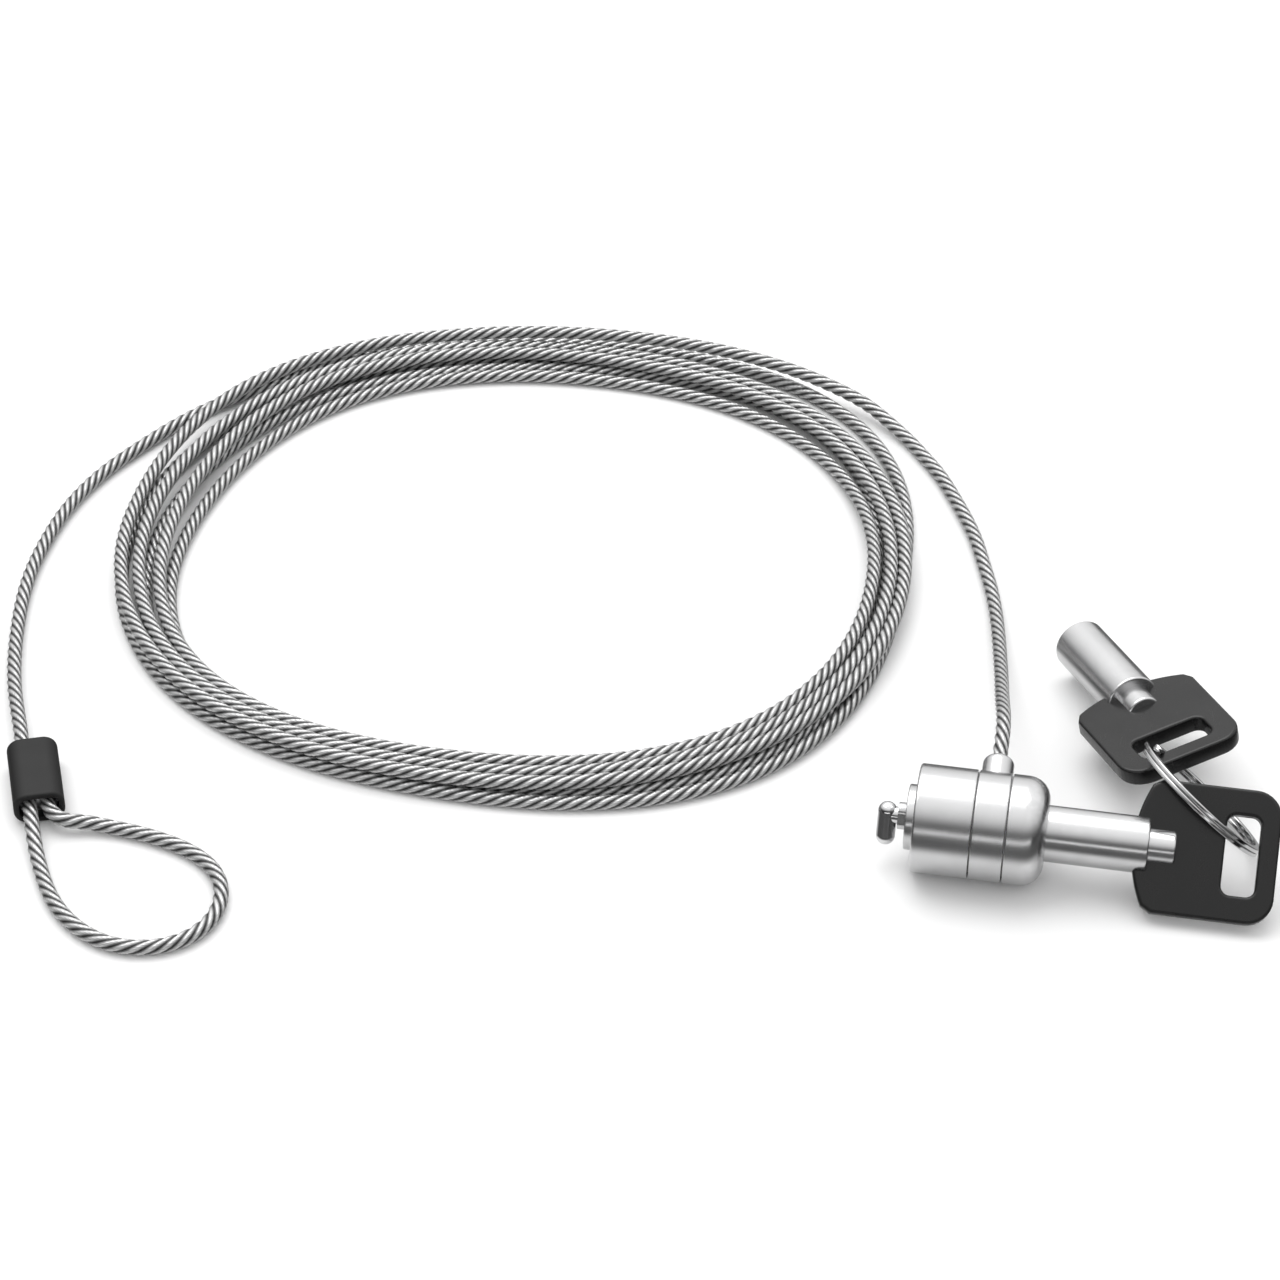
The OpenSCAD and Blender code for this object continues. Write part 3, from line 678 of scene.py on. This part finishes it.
# %% Turn the lock head
BODY_R = 8.25
SHELL_R = 6.2
DISC_R = 4.95
DISC_T = 1.3
NECK_BORE_R = 3.6
NECK_END = 4.2
COLLAR_FRONT = 10.05
COLLAR_BACK = 15.05
HALF_SEAM = 0.07
REAR_WALL = 19.8
BODY_END = 21
KEY_HOLE_R = 4.35
SHOULDER_R = 3.4
FERRULE_R = 2.4
FERRULE_END = 12.9
turned_head = {
    "nose_shell": (
        "lock_head", "nose_housing",
        [(DISC_T, NECK_BORE_R), (DISC_T, BODY_R), (COLLAR_FRONT - HALF_SEAM, BODY_R),
         (COLLAR_FRONT - HALF_SEAM, SHELL_R), (NECK_END, SHELL_R), (NECK_END, NECK_BORE_R)],
        [0.1, 0.45, 0.22, 0.1, 0.1, 0.1],
    ),
    "collar_ring": (
        "root", "swivel_collar",
        [(COLLAR_FRONT + HALF_SEAM, SHELL_R + 0.05), (COLLAR_FRONT + HALF_SEAM, BODY_R),
         (COLLAR_BACK - HALF_SEAM, BODY_R), (COLLAR_BACK - HALF_SEAM, SHELL_R + 0.05)],
        [0.1, 0.22, 0.22, 0.1],
    ),
    "rear_shell": (
        "lock_head", "rear_housing",
        [(COLLAR_BACK + HALF_SEAM, SHELL_R), (COLLAR_BACK + HALF_SEAM, BODY_R), (BODY_END, BODY_R),
         (BODY_END, KEY_HOLE_R), (REAR_WALL, KEY_HOLE_R), (REAR_WALL, SHELL_R)],
        [0.1, 0.22, SHOULDER_R, 0.25, 0.1, 0.1],
    ),
    "seating_disc": (
        "lock_head", "guide_disc",
        [(0, 1.35), (0, DISC_R), (DISC_T, DISC_R), (DISC_T, NECK_BORE_R),
         (NECK_END, NECK_BORE_R), (NECK_END, 1.35)],
        [0.05, 0.25, 0.1, 0.1, 0.1, 0.05],
    ),
}
for name, (body, cad_node, corners, radius) in turned_head.items():
    stands_for(turned(name, corners, radius, steps=160), body, "satin_nickel", satin_nickel, cad_node)
ferrule_place = (np.stack([ferrule_axis, np.cross([1, 0, 0], ferrule_axis), [1, 0, 0]], 1), collar_middle)
ferrule_outline = [(7.4, 1.21), (7.4, FERRULE_R), (FERRULE_END, FERRULE_R), (FERRULE_END, 1.21)]
ferrule = turned("rope_ferrule", ferrule_outline, [0.05, 0.05, 1.15, 0.03], ferrule_place)
stands_for(ferrule, "root", "satin_nickel", satin_nickel, "cable_ferrule")
print("lock head:", ", ".join(turned_head), "and rope_ferrule")

# %% [markdown]
# ## The T-bar
# The T-bar is what enters the security slot in the computer's case: a short bar
# with round ends across the end of a spindle. Low guides beside the spindle fill
# the slot, so that the lock can't be turned back by hand. The bar is turned about
# its own length, and the spindle about the axis of the lock. The guides are a small
# plate with a round hole, and a plate needs another kind of grid.

# %% Turn the T-bar and its spindle
T_ROLL = -19.5
T_LEN = 6.8
T_R = 1.45
NECK = 1.45
T_OFFSET = 1.4
SPINDLE_R = 1.3
SPINDLE_END = 13
bar_turn = turning(x=T_ROLL)
up_bar = bar_turn @ np.stack([[0, 0, 1], [0, 1, 0], [-1, 0, 0]], 1)
bar_place = (up_bar, bar_turn @ np.array([-NECK - T_R, 0, -T_OFFSET]))
half_bar = T_LEN / 2
bar_outline = [(-half_bar, 0), (-half_bar, T_R), (half_bar, T_R), (half_bar, 0)]
t_bar = turned("t_bar", bar_outline, [0, T_R, T_R, 0], bar_place, closed=False)
stands_for(t_bar, "plug", "chrome", bright_plate, "t_spindle")
spindle_outline = [(-NECK - T_R, 0), (-NECK - T_R, SPINDLE_R), (SPINDLE_END, SPINDLE_R), (SPINDLE_END, 0)]
spindle = turned("spindle", spindle_outline, [0, 0.5, 0.2, 0], closed=False)
stands_for(spindle, "plug", "chrome", bright_plate, "t_spindle")
print("T-bar:", T_LEN, "by", 2 * T_R, "mm")

# %% [markdown]
# ## Plates with a hole
# The guide plate and the bows of the keys are flat plates with an opening. Such a
# plate is a ring in the sense of topology, so one grid covers it. Rays leave the
# middle of the opening, and each crosses the plate from the edge of the opening to
# the outer edge, over the top, round the rim and back along the bottom. A Boolean
# would cut the hole too, but its edges would need cleaning before they could be
# rounded. Here the rounded rims are rows of the grid.

# %% Helpers for plates
def cross_flat(a, b):
    """The flat cross product: ax by - ay bx."""
    return a[..., 0] * b[..., 1] - a[..., 1] * b[..., 0]


def inset(outline, distance):
    """Moves a closed, anticlockwise outline inwards. Each point goes along the mean of its two edges'
    inward normals, further where the corner is sharper, so that the edges stay parallel."""
    along = unit(np.roll(outline, -1, 0) - outline)
    normal = np.stack([-along[:, 1], along[:, 0]], 1)
    mean = unit(normal + np.roll(normal, 1, 0))
    return outline + distance * mean / np.sum(mean * normal, 1, keepdims=True)


def reach_of(outline, angle):
    """How far rays from the middle go to a closed outline: the ray that meets the edge from p to q
    ends at the distance p x (q - p) / ray x (q - p)."""
    bearing = np.arctan2(outline[:, 1], outline[:, 0]) % (2 * math.pi)
    outline = np.roll(outline, -np.argmin(bearing), 0)
    bearing = np.sort(bearing)
    k = np.searchsorted(bearing, angle, side="right") - 1
    p, q = outline[k], outline[(k + 1) % len(outline)]
    ray = np.stack([np.cos(angle), np.sin(angle)], 1)
    return cross_flat(p, q - p) / cross_flat(ray, q - p)


def plate(name, outer, inner, thickness, rim, place, steps=5):
    """A plate between two outlines about one middle. Outwards from the opening: its rim rises by a
    quarter round, the face runs straight across, the outer rim falls, and the bottom mirrors the top."""
    bearings = [np.arctan2(o[:, 1], o[:, 0]) for o in (outer, inner)]
    bearings.append(np.linspace(0, 2 * math.pi, 120))
    angle = np.unique(np.round(np.concatenate(bearings) % (2 * math.pi), 5))
    phi = np.linspace(0, math.pi / 2, steps)
    fall, rise = rim * (1 - np.cos(phi)), thickness / 2 - rim * (1 - np.sin(phi))
    inside = [reach_of(inset(inner, -distance), angle) for distance in fall]
    outside = [reach_of(inset(outer, distance), angle) for distance in fall]
    share = np.array([0.02, 0.25, 0.5, 0.75, 0.98])
    across = [inside[-1] + part * (outside[-1] - inside[-1]) for part in share]
    half = np.array(inside + across + outside[::-1])
    height = np.r_[rise, np.full(len(share), thickness / 2), rise[::-1]]
    edge = np.r_[np.sin(2 * phi), np.zeros(len(share)), np.sin(2 * phi)]
    distance = np.vstack([half, half[::-1], half[:1]])
    height = np.r_[height, -height[::-1], height[:1]][:, None]
    edge = np.r_[edge, edge[::-1], edge[:1]]
    x, z = distance * np.cos(angle), distance * np.sin(angle)
    points = np.stack([x, np.broadcast_to(height, x.shape), z], -1)
    return grid_piece(name, points @ place[0].T + place[1], edge=edge[:, None])


def circle(radius, count=48):
    """Points round a circle."""
    a = 2 * math.pi * np.arange(count) / count
    return radius * np.stack([np.cos(a), np.sin(a)], 1)


def rounded_box(width, height, radius):
    """A rectangle with softened corners about the middle, anticlockwise."""
    w, h = width / 2, height / 2
    return soften([(w, -h), (w, h), (-w, h), (-w, -h)], radius, steps=8)[0][:-1]


print("rays to a circle of radius 2:", np.round(reach_of(circle(2), np.array([0.1, 1.0, 2.0])), 3))

# %% [markdown]
# ## The guide plate
# The guides stand on the seating disc, one on each side of the spindle. They are as
# thick as the T-bar, so that they pass through the slot behind it, and they are only
# a little longer than the spindle is wide. As one plate with a hole for the spindle
# they need no more than two outlines and a place.

# %% Make the guide plate
GUIDE_LEN = 4.1
GUIDE_W = 2 * T_R - 0.1
GUIDE_CORNER = 1.3
guide_outline = rounded_box(GUIDE_W, GUIDE_LEN, GUIDE_CORNER)
guide_turn = bar_turn @ turning(z=90)
guide_place = (guide_turn, bar_turn @ np.array([-NECK / 2 + 0.1, 0, 0]))
guide = plate("slot_guide", guide_outline, circle(SPINDLE_R + 0.02), NECK - 0.15, 0.05, guide_place)
stands_for(guide, "lock_head", "satin_nickel", satin_nickel, "guide_disc")
print("guide plate:", len(guide.data.polygons), "faces")

# %% [markdown]
# ## The tubes of the keys
# Each key is a hollow tube with cuts in its tip, one for each pin of the lock. It is
# turned like the housings. The cuts could be drilled with a Boolean, but here the
# flat face of the tip has enough rings of points to be pushed in where a cut is, and
# the edges of the tube stay clean.

# %% Helper for the tubes
KEY_R = 4.25
KEY_BORE_R = 3.05
KEY_BORE_DEPTH = 8
TUBE_LEN = 19.0
SHANK_R = 2.8
PIN_CIRCLE_R = 3.5
CUT_R = 0.55
CUT_DEPTHS = [0.5, 1.1, 0.8, 1.5, 0.3, 1.3, 0.9]


def key_tube(name, place, cuts_turn, steps=192):
    """A turned tube with a bore in its tip. The face of the tip is pushed in by each cut's depth,
    where a point is nearer than the cut's radius to the middle of that cut."""
    face = np.linspace(KEY_BORE_R + 0.02, KEY_R - 0.02, 13)
    bore = [(KEY_BORE_DEPTH, 0), (KEY_BORE_DEPTH, KEY_BORE_R), (0, KEY_BORE_R)]
    outside = [(0, KEY_R), (TUBE_LEN, KEY_R), (TUBE_LEN, SHANK_R), (TUBE_LEN, 0)]
    radius = [0, 0.2, 0.02] + [0] * len(face) + [0.02, 0.35, 0.05, 0]
    outline, mark = soften(bore + [(0, r) for r in face] + outside, radius, closed=False)
    a = 2 * math.pi * np.arange(steps) / steps
    x = np.repeat(outline[:, :1], steps, 1)
    across = outline[:, 1:] * np.cos(a)
    up = outline[:, 1:] * np.sin(a)
    at_tip = (outline[:, :1] < 0.01) & (outline[:, 1:] > KEY_BORE_R)
    for i, cut in enumerate(CUT_DEPTHS):
        middle = math.pi / 2 + math.radians((i + 1) * 45 + cuts_turn)
        off = np.hypot(across - PIN_CIRCLE_R * math.cos(middle), up - PIN_CIRCLE_R * math.sin(middle))
        x = np.where(at_tip & (off < CUT_R), cut, x)
    points = np.stack([x, across, up], -1)
    return grid_piece(name, points @ place[0].T + place[1], edge=mark[:, None])


print("cuts in a key's tip:", len(CUT_DEPTHS))

# %% [markdown]
# ## The bows of the keys
# The bow is what the fingers hold: a flat black plate moulded over the shank, with
# big round corners at its far end, a slightly bulging edge towards the tube, and a
# slot for the ring. Both outlines are worked out about the middle of the slot, which
# is where the rays of the plate's grid start.

# %% Outlines of the bow and its slot
BOW_T = 2.8
BOW_START = 16.6
BOW_END = 38
SLOT_MIDDLE = 32.6
SLOT_W = 5
SLOT_LEN = 12
SLOT_CORNER = 1.4


def bow_outline(half_w=10.0, arc_r=20.5, corner=4.0, cut=1.5):
    """The bow about the middle of its slot: two round corners away from the tube, and towards it
    an edge that is an arc, with its two corners cut off a little."""
    far = BOW_END - SLOT_MIDDLE
    arc_middle = BOW_START + arc_r - SLOT_MIDDLE
    lean = math.asin((half_w - 0.9) / arc_r)
    a = np.linspace(math.pi - lean, math.pi + lean, 25)
    arc = np.stack([arc_middle + arc_r * np.cos(a), arc_r * np.sin(a)], 1)
    q = np.linspace(0, math.pi / 2, 9)
    cut_x = arc[-1, 0] + cut
    lower = np.stack([far - corner + corner * np.sin(q), -half_w + corner - corner * np.cos(q)], 1)
    upper = lower[::-1] * [1, -1]
    return np.vstack([lower, upper, [[cut_x, half_w]], arc, [[cut_x, -half_w]]])


bow = bow_outline()
slot = rounded_box(SLOT_W, SLOT_LEN, SLOT_CORNER)
print("bow:", len(bow), "points,", np.round(np.ptp(bow, axis=0), 1), "mm")

# %% [markdown]
# ## The two keys
# A slimmer shank joins tube and bow. The first key is seated in the lock, with its
# bow leaning over. The second hangs on the ring. They are one function called twice,
# and only their places differ, as two keys from one set do.

# %% Make the keys
SHANK_END = 23.0


def make_key(number, place, cuts_turn):
    """One key: tube, shank and bow, at a place given by a turning and a shift."""
    body = f"key_{number}"
    tube = key_tube(f"key_{number}_barrel", place, cuts_turn)
    stands_for(tube, body, "satin_nickel", satin_nickel, f"key_{number}_tube")
    corners = [(TUBE_LEN - 0.5, 0), (TUBE_LEN - 0.5, SHANK_R), (SHANK_END, SHANK_R), (SHANK_END, 0)]
    shank = turned(f"key_{number}_stub", corners, [0, 0.1, 0.4, 0], place, closed=False)
    stands_for(shank, body, "satin_nickel", satin_nickel, f"key_{number}_shank")
    bow_place = (place[0], place[1] + place[0] @ np.array([SLOT_MIDDLE, 0, 0]))
    grip = plate(f"key_{number}_grip", bow, slot, BOW_T, 0.45, bow_place)
    stands_for(grip, body, "black_plastic", black_plastic, f"key_{number}_bow")


key_1_place = (turning(x=-46), np.array([17.1, 0, 0]))
key_2_place = (turning(z=-60.6) @ turning(y=-7.1) @ turning(x=-79), np.array([22.5, 51.6, -2.8]))
make_key(1, key_1_place, cuts_turn=46)
make_key(2, key_2_place, cuts_turn=0)
print("keys made, bows", BOW_T, "mm thick")

# %% [markdown]
# ## The split ring
# A split ring is flat spring wire wound twice round, so that one turn lies on the
# other, with a bend where the wire steps over. It is one strip carried along a
# path: two turns round, low for the first and high for the second. An Array or a
# Screw modifier gives an even helix, which is not how a split ring looks.

# %% Carry a section along a path
RING_MIDDLE = np.array([43.25, 11.1, 1.2])


def carried(name, line, side, up, section):
    """A closed section carried along a line: each ring is line + x side + y up for the section's
    points, and each end is closed by drawing the section in to the line."""
    points = line[:, None] + section[None, :, :1] * side[:, None] + section[None, :, 1:] * up[:, None]
    ends = [np.repeat(line[k][None, None], len(section), 1) for k in (0, -1)]
    return grid_piece(name, np.concatenate([ends[0], points, ends[1]]), edge=0.0)


def split_ring(mean_r=11.15, wire_w=1.3, wire_t=0.66, half_step=0.36, start=0.4, bend=0.35, bearing=2.2):
    """Two turns of flat wire. The height steps from low to high by s s (3 - 2 s) over the bend."""
    a = np.linspace(start, 4 * math.pi - start, 320)
    s = np.clip((a - 2 * math.pi + bend) / (2 * bend), 0, 1)
    height = half_step * (2 * s * s * (3 - 2 * s) - 1)
    facing = np.stack([np.cos(a + bearing), np.sin(a + bearing), 0 * a], 1)
    line = mean_r * facing + height[:, None] * [0, 0, 1]
    turn = turning(z=32.8) @ turning(y=46.2)
    up = np.broadcast_to(turn @ np.array([0, 0, 1]), line.shape)
    section = rounded_box(wire_w, wire_t, 0.2)
    return carried("key_ring", line @ turn.T + RING_MIDDLE, facing @ turn.T, up, section)


ring = stands_for(split_ring(), "ring", "ring_steel", ring_steel, "split_ring")
print("split ring:", len(ring.data.polygons), "faces")

# %% [markdown]
# ## The crimp sleeve
# A pressed aluminium ferrule holds the two runs of rope together, and a matt
# plastic sleeve covers it. The sleeve is a short oblong tube with soft rims, open
# at both ends, where the rope goes in. Its wall is a closed outline carried round
# the oblong, so the inside and the outside are one skin.

# %% Make the crimp sleeve
def oblong_sleeve(name, place, length, width, height, corner, wall):
    """For each point of the wall's outline, x along the sleeve and how far in from the outside: the
    oblong moved in by that much, at that x."""
    rim, mark = soften([(0, 0), (length, 0), (length, wall), (0, wall)], [0.5, 0.5, 0.2, 0.2], steps=6)
    oblong = rounded_box(width, height, corner)
    rows = np.array([inset(oblong, step) for step in rim[:, 1]])
    x = np.broadcast_to(rim[:, :1], rows.shape[:2])
    points = np.stack([x, rows[..., 0], rows[..., 1]], -1)
    return grid_piece(name, points @ place[0].T + place[1], edge=mark[:, None])


sleeve_place = (turning(z=-67.8), np.array([-135.7, -3, LANE_Z]))
sleeve_size = {"length": 14.4, "width": 7.8, "height": 5.4}
sleeve = oblong_sleeve("crimp_sleeve", sleeve_place, **sleeve_size, corner=2.2, wall=0.9)
stands_for(sleeve, "root", "dark_sleeve", dark_sleeve, "crimp_cover")
print("sleeve:", len(sleeve.data.polygons), "faces")

# %% [markdown]
# ## The pin springs
# Behind each driver pin sits a tiny spring. Each is a wire carried along a helix,
# and the seven stand at every eighth of a turn but one.

# %% Wind the pin springs
def pin_spring(number, x_from=6.15, x_to=8.35, coil_r=0.36, wire_r=0.09, coils=6):
    """A helix along X: its angle runs through the coils while x runs evenly from end to end."""
    t = np.linspace(0, 1, 16 * coils + 1)
    a = 2 * math.pi * coils * t
    outward = np.stack([0 * a, np.cos(a), np.sin(a)], 1)
    line = coil_r * outward + np.stack([x_from + t * (x_to - x_from), 0 * t, 0 * t + PIN_CIRCLE_R], 1)
    along = np.broadcast_to([1.0, 0, 0], line.shape)
    turn = turning(x=45 * number)
    wire = circle(wire_r, 8)
    return carried(f"pin_spring_{number}", line @ turn.T, outward @ turn.T, along @ turn.T, wire)


for number in range(1, 8):
    stands_for(pin_spring(number), "lock_head", "spring_steel", spring_steel, "pin_springs")
print("springs: 7")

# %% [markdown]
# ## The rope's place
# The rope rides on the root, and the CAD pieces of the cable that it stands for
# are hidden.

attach(wire_rope, "root")
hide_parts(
    "cable_end", "cable_lead", "cable_coil", "cable_tail", "cable_in_sleeve", "cable_loop",
)
print("rope declared, measured", round(rope_length / 1000, 3), "m")

# %% [markdown]
# ## Floor and light
# The lock lies on a pale table under soft studio light. A broad box above and
# behind draws the bright band on every tube, a long strip in front draws a second,
# lower one, and the dim room between them gives metal the dark that makes it look
# like metal.

# %% Set the floor and the lights
def area_light(name, place, aim, size, watts):
    """A rectangular soft box at a place, turned to face the point it is aimed at."""
    data = bpy.data.lights.new(name, "AREA")
    data.shape = "RECTANGLE"
    data.size, data.size_y = size
    data.energy = watts
    light = bpy.data.objects.new(name, data)
    away = unit(np.array(place, float) - np.array(aim, float))
    side = unit(np.cross([0, 0, 1], away))
    turn = np.eye(4)
    turn[:3] = np.stack([side, np.cross(away, side), away, place], 1)
    light.matrix_world = turn.T.tolist()
    bpy.context.collection.objects.link(light)


def floor_piece(size, z):
    """A flat square that stands for the table. What metal mirrors of it darkens with distance,
    as a small lit table in a dark room does."""
    half = size / 2
    corners = [(-half, -half, z), (half, -half, z), (half, half, z), (-half, half, z)]
    mesh = bpy.data.meshes.new("table_top")
    mesh.from_pydata(corners, [], [(0, 1, 2, 3)])
    piece = bpy.data.objects.new("table_top", mesh)
    bpy.context.collection.objects.link(piece)
    material, tree = new_material("pale_table")
    mirrored = add(tree, "ShaderNodeLightPath").outputs["Is Glossy Ray"]
    grazing = add(tree, "ShaderNodeLayerWeight").outputs["Facing"]
    far_off = map_range(tree, grazing, 0.38, 0.62, 0, 1)
    tone = mixed_colour(tree, mirrored, grey(0.95), mixed_colour(tree, far_off, grey(0.75), grey(0.05)))
    shader = add(tree, "ShaderNodeBsdfPrincipled", {"Base Color": tone, "Roughness": 0.6, "IOR": 1.2})
    tree.links.new(shader.outputs[0], add(tree, "ShaderNodeOutputMaterial").inputs["Surface"])
    mesh.materials.append(material)
    return piece


floor = floor_piece(size=6, z=FLOOR_Z * MM - 2e-5)
area_light("top box", place=(-0.25, 0.30, 0.80), aim=(-0.03, 0.03, 0), size=(0.9, 0.7), watts=4)
area_light("front strip", place=(0.10, -0.75, 0.16), aim=(0, 0, 0), size=(1.2, 0.10), watts=0.5)

# %% [markdown]
# ## The room
# The table needs an even, nearly white room. Metal needs something to mirror, and a
# real studio gives it a white ceiling and a dark front wall. An image of a studio
# could be the world, but two greys chosen by the kind of ray do both jobs at once.

# %% Light the room
def studio_world(level):
    """What lights the table is even. What metal mirrors is a dark room in front, under a white
    ceiling that comes down behind: the grey follows 0.92 z + 0.38 y of the view direction."""
    world = bpy.data.worlds.new("studio")
    world.use_nodes = True
    tree = world.node_tree
    ray = add(tree, "ShaderNodeLightPath").outputs
    sky = add(tree, "ShaderNodeTexCoord").outputs["Generated"]
    ceiling = {0: sky, 1: (0, 0.38, 0.92)}
    rise = add(tree, "ShaderNodeVectorMath", ceiling, operation="DOT_PRODUCT").outputs["Value"]
    ramp = add(tree, "ShaderNodeValToRGB", {0: rise})
    stops = ramp.color_ramp.elements
    stops[-1].position = 0.95
    stops[0].color = grey(0.04)
    stops[-1].color = grey(1.15)
    for position, tone in ((0.12, 0.10), (0.42, 0.70), (0.68, 1.0)):
        stops.new(position).color = grey(tone)
    seen = mixed_colour(tree, ray["Is Glossy Ray"], grey(level), ramp.outputs[0])
    tree.links.new(seen, tree.nodes["Background"].inputs["Color"])
    return world


bpy.context.scene.world = studio_world(0.92)
bpy.context.scene.view_settings.view_transform = "Standard"
print("world:", bpy.context.scene.world.name)
